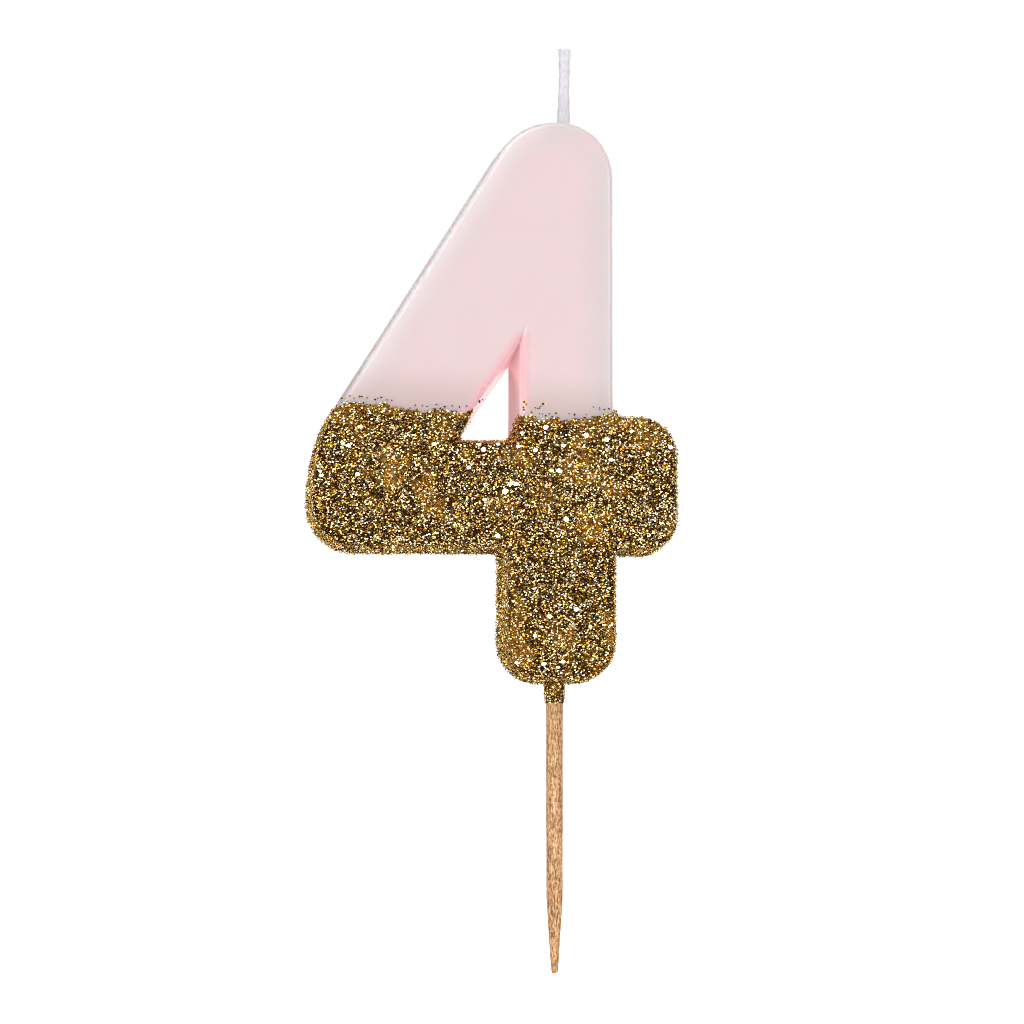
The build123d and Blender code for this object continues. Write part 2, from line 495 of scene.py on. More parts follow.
def wax_material():
    """Cast pink wax: a greyer painted shade near the right and top of the outline and a paler painted
    light along its slope, a deep pink painted light in and round the window with painted shade on its
    slanted wall, and a darker, warmer painted shade next to the gold.
    """
    material, shader = new_material("pink_wax")
    place = add_node(material, "ShaderNodeTexCoord").outputs["Object"]
    edge, slope_light_share = outline_shading(material, place)
    window_lit_share, slant_shade, shining = window_light_and_shade(material, place)
    edge_shade_tone, pale, window, slanted, warm = (
        plain_colour(material, colour)
        for colour in (WAX_EDGE_SHADE, WAX_SLOPE_LIGHT, WAX_WINDOW_LIT, WAX_SLANT_SHADE, WAX_DIP_SHADE)
    )
    cloud = ramp_node(material, noise_node(material, place, *WAX_CLOUDS), WAX_CLOUD_TONES)
    # Painted shade greys the outline's right and top, and painted light pales it along the slope.
    tone = mix_colours(material, edge, cloud, mix_colours(material, slope_light_share, edge_shade_tone, pale))
    # Painted shade makes the wax darker and warmer next to the gold.
    dip_shade = fade(material, past_border(material, place, DIP_BORDER), *DIP_SHADE_REACH)
    dip_shade = calculate(material, "MULTIPLY", dip_shade, DIP_SHADE_SHARE)
    tone = mix_colours(material, dip_shade, tone, warm)
    # Painted light deepens the pink round the window, and painted shade darkens its slanted wall.
    tone = mix_colours(material, window_lit_share, tone, window)
    tone = mix_colours(material, slant_shade, tone, slanted)
    link(material, tone, shader.inputs["Base Color"])
    # The window's walls give off painted light as emission.
    dark, bright = plain_colour(material, BLACK), plain_colour(material, WINDOW_LIGHT)
    link(material, mix_colours(material, shining, dark, bright), shader.inputs["Emission Color"])
    shader.inputs["Emission Strength"].default_value = WINDOW_LIGHT_STRENGTH
    shader.inputs["Roughness"].default_value = WAX_ROUGHNESS
    shader.inputs["IOR"].default_value = WAX_IOR
    shader.inputs["Subsurface Weight"].default_value = WAX_SCATTERING
    shader.inputs["Subsurface Radius"].default_value = WAX_SCATTER_COLOUR
    shader.inputs["Subsurface Scale"].default_value = WAX_SCATTER_DEPTH
    bump_node(material, noise_node(material, place, *WAX_DIMPLES), *WAX_RELIEF, shader)
    return material


# ------------------------------------------------------------------ glue and foil

# Three tones of the dust in the glue, from its hollows to its grains; the darker hollow tones are painted
# shade, and the tones between the flakes are darkened to near black as painted shade.
GLUE_SHADED_GAPS = [(0.3, (0.004, 0.001, 0.0001)), (0.55, (0.03, 0.009, 0.0005)), (0.75, (0.20, 0.08, 0.008))]
GLUE_POOLED = [(0.3, (0.07, 0.022, 0.001)), (0.5, (0.26, 0.10, 0.008)), (0.7, (0.50, 0.26, 0.04))]
GLUE_DUST = (3000.0, 4.0, 0.7)
GLUE_RELIEF = (0.8, 0.12 * MM)
GLUE_PATCHES = (260.0, 2.0, 0.5)
GLUE_PATCH_TONES = [(0.53, BLACK), (0.65, WHITE)]
# The pooled tone comes back near the upper edge of the dip.
GLUE_FRINGE = (-0.5 * MM, -2.0 * MM)
GLUE_FRINGE_LOSS = 0.2
GLUE_METALLIC = 0.2
GLUE_SPECULAR = 0.05
GLUE_ROUGHNESS = 0.45
FOIL_EDGE = (1.0, 0.78, 0.42)


def glue_material():
    """Dried glue full of fine gold dust: darkened to near black between the flakes as painted shade,
    orange where it pooled, and darker in the dust's hollows as painted shade.
    """
    material, shader = new_material("glue_and_dust")
    place = add_node(material, "ShaderNodeTexCoord").outputs["Object"]
    dust = noise_node(material, place, *GLUE_DUST)
    # Painted shade: the near black glue between the flakes and in the dust's hollows.
    between = ramp_node(material, dust, GLUE_SHADED_GAPS)
    pooled = ramp_node(material, dust, GLUE_POOLED)
    patches = ramp_node(material, noise_node(material, place, *GLUE_PATCHES), GLUE_PATCH_TONES)
    fringe = fade(material, past_border(material, place, DIP_BORDER), *GLUE_FRINGE)
    fringe = calculate(material, "SUBTRACT", fringe, GLUE_FRINGE_LOSS)
    patches = calculate(material, "MAXIMUM", patches, fringe)
    link(material, mix_colours(material, patches, between, pooled), shader.inputs["Base Color"])
    shader.inputs["Metallic"].default_value = GLUE_METALLIC
    shader.inputs["Specular IOR Level"].default_value = GLUE_SPECULAR
    shader.inputs["Roughness"].default_value = GLUE_ROUGHNESS
    bump_node(material, dust, *GLUE_RELIEF, shader)
    return material


def foil_material(name, colour, roughness):
    """One tint of metal foil; every flake cut from it is one even colour."""
    material, shader = new_material(name)
    shader.inputs["Base Color"].default_value = (*colour, 1)
    shader.inputs["Metallic"].default_value = 1.0
    shader.inputs["Specular Tint"].default_value = (*FOIL_EDGE, 1)
    shader.inputs["Roughness"].default_value = roughness
    return material


# ------------------------------------------------------------------ cotton and wood

YARN = (6000.0, 3.0, 0.5)
YARN_TONES = [(0.3, (0.61, 0.59, 0.63)), (0.7, (0.71, 0.69, 0.73))]
YARN_STRETCH = 0.2
YARN_RELIEF = (0.25, 0.03 * MM)
COTTON_ROUGHNESS = 0.45
COTTON_SCATTERING = 0.3
COTTON_SCATTER_COLOUR = (1.0, 0.9, 0.9)
COTTON_SCATTER_DEPTH = 0.4 * MM


def wick_material():
    """White cotton primed with wax: faint yarn lines under a soft shine."""
    material, shader = new_material("waxed_cotton")
    place = add_node(material, "ShaderNodeTexCoord").outputs["Object"]
    yarn = noise_node(material, stretched(material, place, YARN_STRETCH), *YARN)
    link(material, ramp_node(material, yarn, YARN_TONES), shader.inputs["Base Color"])
    shader.inputs["Roughness"].default_value = COTTON_ROUGHNESS
    shader.inputs["Subsurface Weight"].default_value = COTTON_SCATTERING
    shader.inputs["Subsurface Radius"].default_value = COTTON_SCATTER_COLOUR
    shader.inputs["Subsurface Scale"].default_value = COTTON_SCATTER_DEPTH
    bump_node(material, yarn, *YARN_RELIEF, shader)
    return material


FIBRES = (5200.0, 4.0, 0.6)
FIBRE_TONES = [(0.4, (0.25, 0.095, 0.028)), (0.5, (0.56, 0.275, 0.105)), (0.6, (0.83, 0.50, 0.24))]
FIBRE_STRETCH = 0.07
FIBRE_RELIEF = (0.5, 0.06 * MM)
PORES = (4200.0, 3.0, 0.65)
PORE_TONES = [(0.44, (0.17, 0.055, 0.014)), (0.5, (0.56, 0.27, 0.10)), (0.56, (0.88, 0.61, 0.35))]
PORE_STRETCH = 0.45
PORE_SHARE = 0.5
WOOD_ROUGHNESS = 0.6


def wood_material():
    """Bare birch: long fibres with short darker pores and paler flecks."""
    material, shader = new_material("birch_wood")
    place = add_node(material, "ShaderNodeTexCoord").outputs["Object"]
    fibre = noise_node(material, stretched(material, place, FIBRE_STRETCH), *FIBRES)
    pores = noise_node(material, stretched(material, place, PORE_STRETCH), *PORES)
    grain = ramp_node(material, fibre, FIBRE_TONES)
    flecks = ramp_node(material, pores, PORE_TONES)
    link(material, mix_colours(material, PORE_SHARE, grain, flecks), shader.inputs["Base Color"])
    shader.inputs["Roughness"].default_value = WOOD_ROUGHNESS
    bump_node(material, fibre, *FIBRE_RELIEF, shader)
    return material


# ------------------------------------------------------------------ wax figure

FORM_VOXEL = 0.3 * MM
# A plug closes the pick's socket in the form.  Its ends are this far above the figure's
# underside and above the pick's upper end.
PLUG_RADIUS = 1.3 * MM
PLUG_RAISED = 0.4 * MM
PLUG_SIDES = 32
# Around the socket, up to this height, the form keeps the plug's own surface.
SOCKET_RADIUS = 1.5 * MM
SOCKET_TOP = 10 * MM
WICK_X = (WICK_LOW.x + WICK_HIGH.x) / 2
WAX_TOP = BODY_HIGH.z
# The wax that climbs the wick: distance from the wick's axis and rise above the figure.
MENISCUS_REACH = np.array([2.0, 1.8, 1.5, 1.2, 1.0, 0.86, 0.76, 0.62]) * MM
MENISCUS_RISE = np.array([-0.5, -0.03, 0.0, 0.04, 0.12, 0.26, 0.46, 0.80]) * MM
MENISCUS_FLATTENED = 0.80
WICK_BORE = 1.1 * MM
MENISCUS_SIDES = 48

WINDOW_RIGHT = -5.35 * MM
WINDOW_LOW = 30.4 * MM
WINDOW_HIGH = 42.0 * MM
WINDOW_APEX = 40.35 * MM
WINDOW_SLOPE = math.tan(math.radians(34.8))


def in_window(x, z, margin):
    """True where a point lies in the triangular window of the figure, or within margin of it."""
    left = WINDOW_RIGHT - (WINDOW_APEX - z) * WINDOW_SLOPE
    between_sides = (x < WINDOW_RIGHT + margin) & (x > left - margin)
    return between_sides & (z > WINDOW_LOW - margin) & (z < WINDOW_HIGH)


def dress_wax(material):
    """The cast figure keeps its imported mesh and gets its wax."""
    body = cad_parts["number_body"]
    body.data.materials.clear()
    body.data.materials.append(material)


def wax_tree():
    """The cast figure's faces, for finding points on its surface."""
    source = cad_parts["number_body"].data
    vertices = [v.co.copy() for v in source.vertices]
    faces = [tuple(p.vertices) for p in source.polygons]
    return vertices, faces, BVHTree.FromPolygons(vertices, faces)


def make_meniscus(material):
    """The little skirt of wax that climbs the wick where it leaves the figure."""
    tree = wax_tree()[2]
    turn = np.arange(MENISCUS_SIDES) * 2 * math.pi / MENISCUS_SIDES
    vertices = []
    for reach, rise in zip(MENISCUS_REACH, MENISCUS_RISE):
        for angle in turn:
            across, through = math.cos(angle), math.sin(angle) * MENISCUS_FLATTENED
            footing = max(reach, WICK_BORE / MENISCUS_FLATTENED)
            above = Vector((WICK_X + footing * across, footing * through, WICK_HIGH.z))
            surface = tree.ray_cast(above, Vector((0, 0, -1)))[0].z
            vertices.append((WICK_X + reach * across, reach * through, surface + rise))
    faces = ring_faces(len(MENISCUS_REACH), MENISCUS_SIDES)
    return new_piece("wick_foot", vertices, faces, material)


def even_form():
    """A copy of the cast figure on one even mesh, for laying glue and flakes on."""
    vertices, faces, target = wax_tree()
    plug_z = [BODY_LOW.z + PLUG_RAISED, PICK_HIGH.z + PLUG_RAISED]
    plug_vertices, plug_faces = lathe(plug_z, [np.full(PLUG_SIDES, PLUG_RADIUS)] * 2, PLUG_SIDES)
    start = len(vertices)
    vertices += plug_vertices
    faces += [tuple(start + i for i in f) for f in plug_faces]
    source_mesh = bpy.data.meshes.new("form")
    source_mesh.from_pydata([tuple(v) for v in vertices], [], faces)
    form = bpy.data.objects.new("form", source_mesh)
    bpy.context.scene.collection.objects.link(form)
    remesh = form.modifiers.new("remesh", "REMESH")
    remesh.mode = "VOXEL"
    remesh.voxel_size = FORM_VOXEL
    mesh = applied_mesh(form)
    bpy.data.objects.remove(form)
    points = vertex_array(mesh)
    from_axis = np.hypot(points[:, 0], points[:, 1])
    at_socket = (from_axis < SOCKET_RADIUS) & (points[:, 2] < SOCKET_TOP)
    for index in np.nonzero(~at_socket)[0]:
        points[index] = target.find_nearest(Vector(points[index]))[0]
    mesh.vertices.foreach_set("co", points.ravel())
    mesh.update()
    return mesh


# ------------------------------------------------------------------ glitter dip

# The upper edge of the dip across the front face: X and Z in millimetres, from left to right.
DIP_LINE = [
    (-34.0, 34.4),
    (-27.5, 34.1),
    (-26.5, 34.65),
    (-24.5, 34.75),
    (-21.6, 34.55),
    (-20.2, 34.35),
    (-18.6, 33.8),
    (-16.6, 33.7),
    (-15.6, 33.95),
    (-14.0, 33.75),
    (-11.7, 33.85),
    (-10.4, 34.2),
    (-4.6, 33.5),
    (-3.5, 33.05),
    (-2.0, 32.9),
    (2.4, 32.85),
    (3.9, 33.0),
    (4.9, 33.25),
    (6.2, 33.7),
    (6.9, 34.1),
    (8.2, 34.9),
    (17.0, 37.0),
]
DIP_X, DIP_Z = np.array(DIP_LINE).T * MM
# How ragged that edge is: height, width and the seed of each noise.
DIP_RAGS = [(0.30 * MM, 1.6 * MM, 21.0), (0.22 * MM, 0.6 * MM, 5.0)]
# A surface is a wall where its normal's Y is within this of zero, and it is the slanted side
# of the window where its normal's X is high enough and its normal's Z is low enough.
WALL_FACING = 0.8
SLANT_RIGHTWARD = (0.3, 0.7)
SLANT_DOWNWARD = -0.2
# Millimetres by which the edge drops from front to back on the outer walls and in the window.
OUTER_DROP = 1.6
WINDOW_DROP = 2.4
SLANT_DROP = 2.7
DROP_RANGE = (-5.5 * MM, 5.5 * MM)
SLANT_DROP_RANGE = (-5.7 * MM, -4.3 * MM)
# How far outside its borders a point may be and still count as the window's.
WINDOW_MARGIN = 1.2 * MM
# The window's own edge of the dip holds only above this height over its lower side.
WINDOW_SILL = 0.8 * MM
# Spots that the glue missed, in millimetres: x, y, z, reach along x, reach otherwise.
BARE_SPOTS = [(-26.6, -2.2, 17.0, 1.1, 0.7), (-7.2, 0.5, 16.6, 0.7, 0.8)]

GLUE_THICKNESS = 0.14 * MM
GLUE_ROOT = 0.06 * MM
GLUE_POOL = 0.22 * MM
GLUE_LUMPS = 0.35
GLUE_LUMP_SIZE = 0.7 * MM
GLUE_LUMP_SEED = 13.0
GLUE_EDGE = (-0.3 * MM, 0.5 * MM)
GLUE_POOL_EDGE = (0, 1.0 * MM)


def on_slant(normals):
    """1 on the slanted side of the window, which looks to the right and down."""
    return smoothstep(normals[:, 0], *SLANT_RIGHTWARD) * (normals[:, 2] < SLANT_DOWNWARD)


def glue_height(points, normals, depth):
    """Thickness of the glue: lumpy, thin at its upper edge, run together in the window's corner."""
    lumps = 1 + GLUE_LUMPS * fractal(points, GLUE_LUMP_SIZE, GLUE_LUMP_SEED)
    pool = in_window(points[:, 0], points[:, 2], WINDOW_MARGIN) * on_slant(normals)
    even = GLUE_THICKNESS * lumps * smoothstep(depth, *GLUE_EDGE)
    return even + GLUE_POOL * pool * smoothstep(depth, *GLUE_POOL_EDGE)


def spot_distance(points, spot):
    """How far points lie outside a bare spot, in reaches of the spot."""
    x, y, z, reach_x, reach = spot
    across = (points[:, 0] / MM - x) / reach_x
    through = (points[:, 1] / MM - y) / reach
    upward = (points[:, 2] / MM - z) / reach
    return np.sqrt(across**2 + through**2 + upward**2) - 1


def dip_depth(points, normals):
    """How far each surface point lies below the ragged upper edge of the dip."""
    x, y, z = points[:, 0], points[:, 1], points[:, 2]
    line = np.interp(x, DIP_X, DIP_Z)
    for height, width, seed in DIP_RAGS:
        line = line + height * fractal(points, width, seed)
    on_wall = np.abs(normals[:, 1]) < WALL_FACING
    in_hole = in_window(x, z, WINDOW_MARGIN) & on_wall & (z > WINDOW_LOW + WINDOW_SILL)
    backward = smoothstep(y, *DROP_RANGE)
    line = line - on_wall * ~in_hole * backward * OUTER_DROP * MM
    slant_drop = SLANT_DROP * smoothstep(y, *SLANT_DROP_RANGE)
    drop = np.where(on_slant(normals) > 0, slant_drop, WINDOW_DROP * backward)
    line = line - in_hole * drop * MM
    depth = line - z
    for spot in BARE_SPOTS:
        depth = np.minimum(depth, spot_distance(points, spot) * spot[4] * MM)
    return depth


def make_glue(material):
    """A lumpy skin of glue over the dipped wax, thinning to nothing at its upper edge."""
    mesh = dip_form
    points, normals = vertex_array(mesh), normal_array(mesh)
    depth = dip_depth(points, normals)
    quads = np.array([tuple(p.vertices) for p in mesh.polygons])
    quads = quads[(depth[quads] > 0).all(axis=1)]
    used = np.unique(quads)
    place = np.full(len(points), -1)
    place[used] = np.arange(len(used))
    quads = place[quads]
    points, normals, depth = points[used], normals[used], depth[used]
    outer = points + normals * glue_height(points, normals, depth)[:, None]
    inner = points - normals * GLUE_ROOT
    count = len(points)
    edges = np.concatenate([quads[:, [k, (k + 1) % 4]] for k in range(4)])
    forward = {(a, b) for a, b in edges.tolist()}
    rim = [(a, b) for a, b in forward if (b, a) not in forward]
    faces = quads.tolist() + (quads[:, ::-1] + count).tolist()
    faces += [(b, a, a + count, b + count) for a, b in sorted(rim)]
    piece = new_piece("glue_skin", np.concatenate([outer, inner]), faces, material)
    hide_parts("glitter_coat")
    return piece


COLLAR_SIDES = 56
COLLAR_RINGS = 22
COLLAR_SET_BACK = 0.1 * MM
# Its radius at the bottom, what it gains to the top, and its lumps, all in millimetres.
COLLAR_RADIUS = 1.1
COLLAR_FLARE = 0.17
COLLAR_LUMPS = 0.07
COLLAR_LUMP_SCALE = 2.1
COLLAR_LUMP_PACE = 0.8


def make_collar(material):
    """The ragged sleeve of glue and glitter that the dip left around the top of the pick."""
    heights = np.linspace(COLLAR_LOW.z + COLLAR_SET_BACK, COLLAR_HIGH.z, COLLAR_RINGS)
    turn = np.arange(COLLAR_SIDES) * 2 * math.pi / COLLAR_SIDES
    radii = []
    for height in heights:
        share = (height - heights[0]) / (heights[-1] - heights[0])
        upward = height / MM * COLLAR_LUMP_PACE
        ring = [Vector((math.cos(t), math.sin(t), upward)) for t in turn]
        lumps = np.array([noise.noise(p * COLLAR_LUMP_SCALE) for p in ring])
        radii.append((COLLAR_RADIUS + COLLAR_FLARE * share + COLLAR_LUMPS * lumps) * MM)
    vertices, faces = lathe(heights, radii, COLLAR_SIDES)
    piece = new_piece("glue_collar", vertices, faces, material)
    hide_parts("glitter_collar")
    return piece


def sample_surface(mesh, count, rng):
    """Random points on a mesh with their normals, even by area."""
    triangles = face_arrays(mesh)
    points, normals = vertex_array(mesh), normal_array(mesh)
    a, b, c = (points[triangles[:, k]] for k in range(3))
    area = np.linalg.norm(np.cross(b - a, c - a), axis=1) / 2
    corner = triangles[rng.choice(len(triangles), size=count, p=area / area.sum())]
    u, v = rng.random(count), rng.random(count)
    flip = u + v > 1
    u[flip], v[flip] = 1 - u[flip], 1 - v[flip]
    weight = np.stack([1 - u - v, u, v], axis=1)
    places = sum(weight[:, [k]] * points[corner[:, k]] for k in range(3))
    facings = sum(weight[:, [k]] * normals[corner[:, k]] for k in range(3))
    return places, unit(facings)


def surface_area(mesh):
    return sum(p.area for p in mesh.polygons)


def tilt_flakes(facings, tilt, rng):
    """The upward direction of each flake: its surface normal leaned over by tilt."""
    helper = np.where(np.abs(facings[:, [2]]) < 0.9, [[0, 0, 1.0]], [[1.0, 0, 0]])
    across = unit(np.cross(facings, helper))
    onward = np.cross(facings, across)
    lean = rng.random(len(facings)) * 2 * math.pi
    lean_axis = across * np.cos(lean)[:, None] + onward * np.sin(lean)[:, None]
    return facings * np.cos(tilt)[:, None] + lean_axis * np.sin(tilt)[:, None]


FLAKE_SIDES = 6
# Depth of a flake's root and half-width of the narrowest flakes, both in the flake's radii.
FLAKE_ROOT = 0.45
FLAKE_NARROWEST = 0.62
FLAKE_TOP = [(0, k, k + 1) for k in range(1, FLAKE_SIDES - 1)]
FLAKE_SKIRT = [(FLAKE_SIDES, (k + 1) % FLAKE_SIDES, k) for k in range(FLAKE_SIDES)]


def make_flakes(name, places, ups, radii, material, rng):
    """One piece of six-sided flakes: each is flat on top and rooted in the glue by a point."""
    count = len(places)
    helper = np.where(np.abs(ups[:, [2]]) < 0.9, [[0, 0, 1.0]], [[1.0, 0, 0]])
    side_a = unit(np.cross(ups, helper))
    side_b = np.cross(ups, side_a)
    spin = rng.random(count) * 2 * math.pi
    side_b = side_b * rng.uniform(FLAKE_NARROWEST, 1, count)[:, None]
    points = np.empty((count, FLAKE_SIDES + 1, 3))
    for corner in range(FLAKE_SIDES):
        turn = spin + 2 * math.pi * corner / FLAKE_SIDES
        outward = side_a * np.cos(turn)[:, None] + side_b * np.sin(turn)[:, None]
        points[:, corner] = places + outward * radii[:, None]
    points[:, FLAKE_SIDES] = places - ups * (radii * FLAKE_ROOT)[:, None]
    one = np.array(FLAKE_TOP + FLAKE_SKIRT, dtype=np.int32)
    faces = np.arange(count, dtype=np.int32)[:, None, None] * (FLAKE_SIDES + 1) + one[None]
    faces = faces.reshape(-1, 3)
    mesh = bpy.data.meshes.new(name)
    mesh.vertices.add(points.shape[0] * points.shape[1])
    mesh.vertices.foreach_set("co", points.ravel())
    mesh.loops.add(faces.size)
    mesh.loops.foreach_set("vertex_index", faces.ravel())
    mesh.polygons.add(len(faces))
    mesh.polygons.foreach_set("loop_start", np.arange(len(faces), dtype=np.int32) * 3)
    mesh.update(calc_edges=True)
    piece = bpy.data.objects.new(name, mesh)
    bpy.context.scene.collection.objects.link(piece)
    finish_piece(piece, material)
    smooth = np.tile([False] * len(FLAKE_TOP) + [True] * len(FLAKE_SKIRT), count)
    mesh.polygons.foreach_set("use_smooth", smooth)
    return piece


# name, colour, roughness, share
TINTS = [
    ("flakes_cream", (1.0, 0.88, 0.62), 0.13, 0.27),
    ("flakes_gold", (0.93, 0.69, 0.30), 0.14, 0.31),
    ("flakes_amber", (0.82, 0.45, 0.07), 0.16, 0.15),
    ("flakes_olive", (0.60, 0.42, 0.04), 0.18, 0.10),
    ("flakes_bronze", (0.34, 0.13, 0.006), 0.22, 0.11),
    # The umber foil is near black, as painted shade for the dark gaps and dots among the flakes.
    ("flakes_umber_shade", (0.07, 0.020, 0.001), 0.35, 0.07),
]
# Numbers of the tints in that list: the cream one, and those of the stray flakes, which are mostly the
# dark tints as painted shade for flakes that face away from the lamps.
CREAM = 0
STRAY_TINTS = [1, 3, 4, 5]
STRAY_SHARES = [0.08, 0.17, 0.45, 0.30]

GLITTER_SEED = 44
FLAKES_PER_MM2 = 38.0
FLAKE_RADIUS = 0.108 * MM
FLAKE_SPREAD = (0.75, 1.2)
FLAKE_REACH = 0.42 * MM
# How far the flakes rise at most from the glue, as a share of their reach past it.
FLAKE_RISE = 0.6
COLLAR_RISE = 0.2
COLLAR_GLUE = 0.05 * MM
FLAKE_TILT = math.radians(26)
FLAKE_MOST_TILT = math.radians(75)
# The flakes thin out over this many millimetres below the dip's edge, starting just above it.
EDGE_START = 0.12
EDGE_WIDTH = (0.30, 0.8)
EDGE_NOISE = (3.0 * MM, 31.0)
EDGE_NOISE_RANGE = (-0.1, 0.35)
# Flakes that stand on edge out of the glue: their share, reach and tilt.
PROUD_SHARE = 0.10
PROUD_REACH = (0.7, 1.0)
PROUD_TILT = (45, 80)

SPARKLE_LAMPS = ("key", "right_strip", "left_strip", "top")
SPARKLES_EACH = 11
SPARKLE_CONE = math.radians(5)
SPARKLE_FRONTWARD = -0.5
SPARKLE_RADIUS = (0.26, 0.38)
SPARKLE_REACH = 0.95


def wide_flakes(facings, ups, rng):
    """Picks a few flakes that happen to throw one of the sparkle lamps to the camera."""
    chosen = []
    for name in SPARKLE_LAMPS:
        lamp = [entry for entry in LAMPS if entry[0] == name][0]
        half = (lamp_direction(lamp[1], lamp[2]) + CAMERA_BACK).normalized()
        near = ups @ np.array(half) > math.cos(SPARKLE_CONE)
        found = np.nonzero(near & (facings[:, 1] < SPARKLE_FRONTWARD))[0]
        chosen.append(rng.permutation(found)[:SPARKLES_EACH])
    return np.concatenate(chosen)


# Loose flakes on the wax above the dip: start and end of each row in X and Z, in
# millimetres, and how many.
STRAY_ROWS = [
    ((-4.5, 33.7), (-4.1, 35.2), 7),
    ((-3.3, 33.5), (-1.8, 34.9), 10),
    ((-3.0, 33.2), (-0.4, 33.4), 7),
    ((3.7, 34.2), (6.3, 34.25), 6),
    ((-10.3, 34.5), (-9.4, 35.2), 4),
    ((-27.0, 35.3), (-20.5, 35.1), 12),
    ((-19.0, 34.3), (-11.0, 34.4), 9),
    ((0.4, 33.4), (3.6, 33.6), 4),
]
# Each flake is this far into its own stretch of the row, give or take a jitter.
STRAY_SHIFT = (0.2, 0.8)
STRAY_JITTER = 0.14 * MM
STRAY_TILT = math.radians(20)
STRAY_SPREAD = (1.0, 1.5)
STRAY_LIFT = 0.04 * MM


def stray_flakes(rng):
    """Places and directions of the loose flakes that stuck to the front face."""
    places = []
    for first, last, count in STRAY_ROWS:
        for share in (np.arange(count) + rng.uniform(*STRAY_SHIFT, count)) / count:
            x = (first[0] + share * (last[0] - first[0])) * MM + rng.normal(0, STRAY_JITTER)
            z = (first[1] + share * (last[1] - first[1])) * MM + rng.normal(0, STRAY_JITTER)
            places.append((x, BODY_LOW.y - STRAY_LIFT, z))
    facings = np.tile([0.0, -1.0, 0.0], (len(places), 1))
    tilt = np.abs(rng.normal(0, STRAY_TILT, len(places)))
    return np.array(places), tilt_flakes(facings, tilt, rng)


def flake_count(mesh):
    return int(surface_area(mesh) / MM**2 * FLAKES_PER_MM2)


def glued_places(rng):
    """Places and directions on the dip and then the collar, with the glue's height at each."""
    places, facings = sample_surface(dip_form, flake_count(dip_form), rng)
    depth = dip_depth(places, facings)
    narrow, wider = EDGE_WIDTH
    thin = narrow + wider * smoothstep(fractal(places, *EDGE_NOISE), *EDGE_NOISE_RANGE)
    kept = rng.random(len(places)) < np.clip((depth / MM + EDGE_START) / thin, 0, 1)
    sleeve = glue_collar.data
    sleeve_places, sleeve_facings = sample_surface(sleeve, flake_count(sleeve), rng)
    low_enough = sleeve_places[:, 2] < COLLAR_HIGH.z - COLLAR_SET_BACK
    glue = glue_height(places[kept], facings[kept], depth[kept])
    glue = np.append(glue, np.full(low_enough.sum(), COLLAR_GLUE))
    places = np.concatenate([places[kept], sleeve_places[low_enough]])
    facings = np.concatenate([facings[kept], sleeve_facings[low_enough]])
    on_collar = np.arange(len(places)) >= kept.sum()
    return places, facings, glue, on_collar


def glued_flakes(rng):
    """Places, directions and radii of the flakes in the glue, and the numbers of the widest ones."""
    places, facings, glue, on_collar = glued_places(rng)
    count = len(places)
    rise = np.where(on_collar, COLLAR_RISE, FLAKE_RISE)
    lift = glue + rng.random(count) * (FLAKE_REACH - GLUE_THICKNESS) * rise
    radii = FLAKE_RADIUS * rng.uniform(*FLAKE_SPREAD, count)
    tilt = np.minimum(np.abs(rng.normal(0, FLAKE_TILT, count)), FLAKE_MOST_TILT)
    proud = (rng.random(count) < PROUD_SHARE) & ~on_collar
    lift[proud] = rng.uniform(*PROUD_REACH, proud.sum()) * FLAKE_REACH
    tilt[proud] = np.radians(rng.uniform(*PROUD_TILT, proud.sum()))
    ups = tilt_flakes(facings, tilt, rng)
    wide = wide_flakes(facings, ups, rng)
    radii[wide] = rng.uniform(*SPARKLE_RADIUS, len(wide)) * MM
    lift[wide] = FLAKE_REACH * SPARKLE_REACH
    return places + facings * lift[:, None], ups, radii, wide


def choose_tints(count, wide, strays, rng):
    """Each flake's tint: the widest are cream, and the strays, which come last, are mostly dark as
    painted shade.
    """
    shares = np.cumsum([t[3] for t in TINTS])
    tint = np.searchsorted(shares / shares[-1], rng.random(count))
    tint[wide] = CREAM
    tint[count - strays :] = rng.choice(STRAY_TINTS, size=strays, p=STRAY_SHARES)
    tint[count - strays] = CREAM
    return tint


def make_glitter():
    """All the flakes, in one piece for each tint."""
    rng = np.random.default_rng(GLITTER_SEED)
    places, ups, radii, wide = glued_flakes(rng)
    stray_places, stray_ups = stray_flakes(rng)
    strays = len(stray_places)
    places = np.concatenate([places, stray_places])
    ups = np.concatenate([ups, stray_ups])
    radii = np.concatenate([radii, FLAKE_RADIUS * rng.uniform(*STRAY_SPREAD, strays)])
    tint = choose_tints(len(places), wide, strays, rng)
    for index, (name, colour, roughness, _) in enumerate(TINTS):
        mine = tint == index
        foil = foil_material(name, colour, roughness)
        piece = make_flakes(name, places[mine], ups[mine], radii[mine], foil, rng)
        if index == CREAM:
            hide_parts("stray_flakes")


# ------------------------------------------------------------------ wick

STRANDS = 3
PLAIT_PITCH = 6.0 * MM
PLAIT_HALF_WIDTH = 0.55 * MM
PLAIT_HALF_THICKNESS = 0.30 * MM
YARN_RADIUS = 0.27 * MM
WICK_SIDES = 56
WICK_STEP = 0.14 * MM
WICK_FLATTENED = 0.7
# Width of the waxed tape at heights above the wax, both in millimetres.
WICK_RISE = np.array([-40.0, -0.5, 0.3, 1.3, 2.8, 4.3, 5.9, 7.4, 9.0, 10.5])
WICK_WIDTH = np.array([1.74, 1.74, 1.68, 1.56, 1.42, 1.28, 1.28, 1.36, 1.48, 1.60])
# The tape's section is between an ellipse, which has power 2, and a box.
TAPE_POWER = 2.6
TAPE_SWELL = 1.03
PLAIT_RELIEF = 0.12
RIDGES = 13
RIDGE_HEIGHT = 0.012 * MM
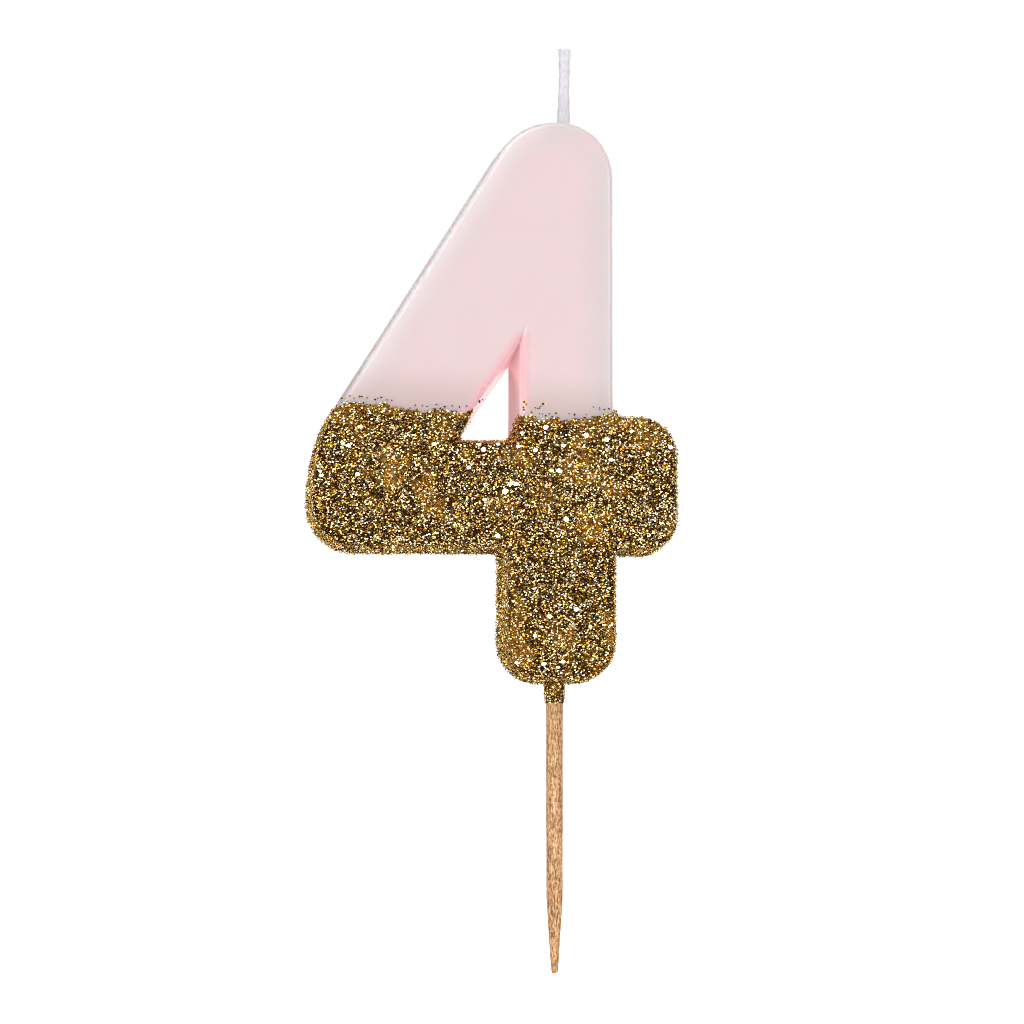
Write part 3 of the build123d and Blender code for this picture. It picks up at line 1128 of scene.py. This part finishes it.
# The ridges wind to and fro by this angle, at this many radians for each millimetre of height.
RIDGE_SWAY = 1.3
RIDGE_SWAY_PACE = 0.9
WICK_LEAN = 0.14 * MM


def yarn_reach(ray, height):
    """How far the three yarns of the plait reach along each ray from the wick's axis."""
    reaches = np.zeros(WICK_SIDES)
    for strand in range(STRANDS):
        phase = 2 * math.pi * ((height - WICK_LOW.z) / PLAIT_PITCH + strand / STRANDS)
        across = PLAIT_HALF_WIDTH * math.sin(phase)
        through = PLAIT_HALF_THICKNESS * math.sin(2 * phase)
        centre = np.array([across, through])
        along = ray @ centre
        miss = (centre**2).sum() - along**2
        reach = along + np.sqrt(np.maximum(YARN_RADIUS**2 - miss, 0))
        reaches = np.maximum(reaches, np.where(miss < YARN_RADIUS**2, reach, 0))
    return (np.roll(reaches, 1) + np.roll(reaches, -1) + reaches * 2) / 4


def make_wick(material):
    """Three plaited yarns soaked in wax, so that only a soft relief of the plait is left."""
    heights = np.arange(WICK_LOW.z, WICK_HIGH.z, WICK_STEP)
    turn = np.arange(WICK_SIDES) * 2 * math.pi / WICK_SIDES
    ray = np.stack([np.cos(turn), np.sin(turn)], axis=1)
    vertices = []
    for height in heights:
        half_width = np.interp((height - WAX_TOP) / MM, WICK_RISE, WICK_WIDTH) / 2 * MM
        half_thickness = half_width * WICK_FLATTENED
        squared = np.abs(ray / [half_width, half_thickness]) ** TAPE_POWER
        tape = squared.sum(axis=1) ** (-1 / TAPE_POWER)
        radius = tape * TAPE_SWELL + PLAIT_RELIEF * (yarn_reach(ray, height) - tape)
        sway = RIDGE_SWAY * math.sin(height / MM * RIDGE_SWAY_PACE)
        ridge = RIDGE_HEIGHT * np.sin(turn * RIDGES + sway)
        lean = WICK_LEAN * max(0.0, (height - WAX_TOP) / (WICK_HIGH.z - WAX_TOP))
        ring = ray * (radius + ridge)[:, None]
        vertices += [(WICK_X + lean + x, y, height) for x, y in ring]
    piece = new_piece("wick", vertices, ring_faces(len(heights), WICK_SIDES), material)
    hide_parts("wick_strand_a", "wick_strand_b", "wick_strand_c")
    return piece


# ------------------------------------------------------------------ pick

PICK_SIDES = 64
PICK_STEP = 0.2 * MM
PICK_TIP_STEP = 0.08 * MM
# Radius of the pick at heights in millimetres, from the point to the buried end.
PICK_Z = np.array([-35.9, -35.82, -35.6, -26.6, -2.3, 24.5, 28.6])
PICK_R = np.array([0.22, 0.33, 0.45, 1.04, 1.06, 1.02, 0.75])
# Depths of the wide and the fine furrows and their set-back into the pick, in millimetres.
FURROW_DEPTHS = (0.022, 0.016)
FURROW_SET_BACK = 0.02
# The furrows' noise is packed closely round the pick and drawn out along it.
FURROW_ROUND = 3.4
FURROW_ALONG = 0.16
FINE_SCALE = 2.7
FINE_SHIFT = Vector((5, 3, 1))


def furrows(turn, height):
    """Relief of the wood's fibres around the pick, in millimetres."""
    around, upward = FURROW_ROUND, height / MM * FURROW_ALONG
    ring = [Vector((math.cos(t) * around, math.sin(t) * around, upward)) for t in turn]
    wide = np.array([noise.noise(p) for p in ring])
    fine = np.array([noise.noise(p * FINE_SCALE + FINE_SHIFT) for p in ring])
    return FURROW_DEPTHS[0] * wide + FURROW_DEPTHS[1] * fine - FURROW_SET_BACK


def make_pick(material):
    """The turned stick with the shallow furrows of its wood fibres."""
    tip = [PICK_LOW.z, PICK_LOW.z + PICK_TIP_STEP]
    heights = np.concatenate([tip, np.arange(PICK_LOW.z + PICK_STEP, PICK_HIGH.z, PICK_STEP)])
    turn = np.arange(PICK_SIDES) * 2 * math.pi / PICK_SIDES
    radii = []
    for height in heights:
        base = np.interp(height / MM, PICK_Z, PICK_R) * MM
        radii.append(base + furrows(turn, height) * MM)
    vertices, faces = lathe(heights, radii, PICK_SIDES)
    piece = new_piece("wooden_pick", vertices, faces, material)
    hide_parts("pick")
    return piece


# ------------------------------------------------------------------ scene

make_camera()
WAX = wax_material()
GLUE = glue_material()
dress_wax(WAX)
make_meniscus(WAX)
dip_form = even_form()
make_glue(GLUE)
glue_collar = make_collar(GLUE)
make_glitter()
make_wick(wick_material())
make_pick(wood_material())

make_floor()
make_world()
make_lamps()

scene = bpy.context.scene
scene.view_settings.view_transform = "Standard"
scene.view_settings.look = "None"
scene.cycles.use_denoising = True
scene.cycles.filter_width = 1.0
